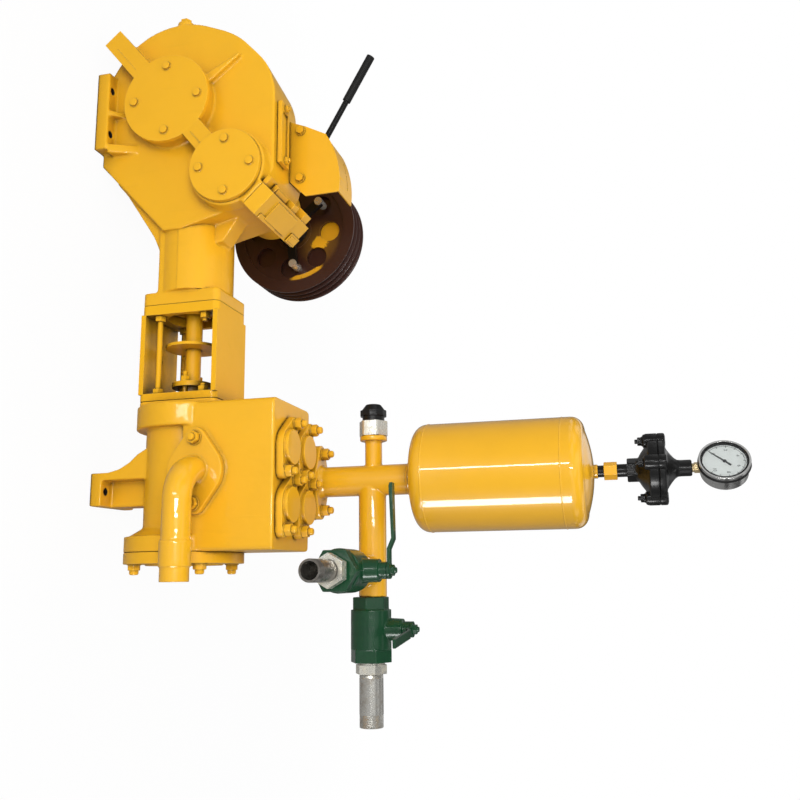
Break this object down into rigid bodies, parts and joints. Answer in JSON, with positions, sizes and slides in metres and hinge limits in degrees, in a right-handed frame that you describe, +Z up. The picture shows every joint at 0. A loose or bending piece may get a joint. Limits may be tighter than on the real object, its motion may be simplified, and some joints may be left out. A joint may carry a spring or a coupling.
{
  "type": "double-acting piston mud pump",
  "caption": "Horizontal piston mud pump with a belt-driven crankcase, an open distance frame, a valve block, an air chamber with a pressure gauge, and ball valves on its outlets.",
  "frame": {"origin": "on the ground, at the centre of the power foot's bolt pattern, under the crank axis", "axes": "+X from the crankcase to the outlets along the rod, +Y towards the belt pulley, +Z up"},
  "size_m": [1.4203, 0.528, 1.221],
  "materials": {
    "yellow_paint": "gloss enamel over castings",
    "red_brown_paint": "gloss primer",
    "green_paint": "gloss enamel",
    "black_paint": "gloss",
    "black_steel": "gloss",
    "bare_steel": "turned and oiled",
    "pale_zinc": "zinc plated",
    "stainless": "polished",
    "brass": "turned",
    "dial_white": "matte",
    "needle_black": "matte",
    "clear_glass": "clear"
  },
  "bodies": {
    "pump": {"crankcase": "yellow_paint", "crank_cover_near": "yellow_paint", "crank_cover_far": "yellow_paint", "pinion_cover": "yellow_paint", "clutch_bracket": "yellow_paint", "inspection_cover": "yellow_paint", "filler_plug": "yellow_paint", "clutch_guard": "yellow_paint", "distance_frame": "yellow_paint", "frame_studs": "yellow_paint", "packing_gland": "yellow_paint", "fluid_end": "yellow_paint", "cylinder_cover": "yellow_paint", "cover_studs": "yellow_paint", "valve_covers": "yellow_paint", "valve_cover_studs": "yellow_paint", "suction_elbow": "yellow_paint", "flange_bolts": "yellow_paint", "discharge_manifold": "yellow_paint", "relief_nut": "pale_zinc", "relief_cap": "black_paint", "tank_shell": "yellow_paint", "tank_bottom_end": "yellow_paint", "tank_top_end": "yellow_paint", "gauge_nipple": "black_paint", "gauge_nut": "yellow_paint", "seal_body": "black_paint", "seal_cap": "black_paint", "gauge_stem": "brass", "gauge_case": "stainless", "gauge_dial": "dial_white", "gauge_needle": "needle_black", "gauge_glass": "clear_glass", "valve_1_body": "green_paint", "valve_2_body": "green_paint", "outlet_bushings": "pale_zinc", "outlet_nipples": "bare_steel"},
    "valve_1_handle": {"valve_1_lever": "green_paint"},
    "valve_2_handle": {"valve_2_lever": "green_paint"},
    "clutch_handle": {"clutch_lever": "black_steel"},
    "pulley": {"belt_pulley": "red_brown_paint", "pulley_shaft": "bare_steel", "clutch_fingers": "black_steel"},
    "rod": {"piston_rod": "yellow_paint", "baffle_disc": "yellow_paint"}
  },
  "joints": [
    {"name": "valve_1_turn", "type": "hinge", "parent": "pump", "child": "valve_1_handle", "pos_m": [0.928, -0.038, 0.591], "axis": [0, 0, 1], "range_deg": [0, 90]},
    {"name": "valve_2_turn", "type": "hinge", "parent": "pump", "child": "valve_2_handle", "pos_m": [1.038, 0.126, 0.589], "axis": [0, 0, 1], "range_deg": [-6, 84]},
    {"name": "clutch_shift", "type": "hinge", "parent": "pump", "child": "clutch_handle", "pos_m": [0.133, 0.0315, 0.4015], "axis": [0.5, 0, 0.866], "range_deg": [-8, 8]},
    {"name": "pulley_spin", "type": "hinge", "parent": "pump", "child": "pulley", "pos_m": [0.163, 0.266, 0.2975], "axis": [0, 1, 0], "continuous": true},
    {"name": "rod_stroke", "type": "slide", "parent": "pump", "child": "rod", "axis": [1, 0, 0], "range_m": [-0.035, 0.035]}
  ]
}
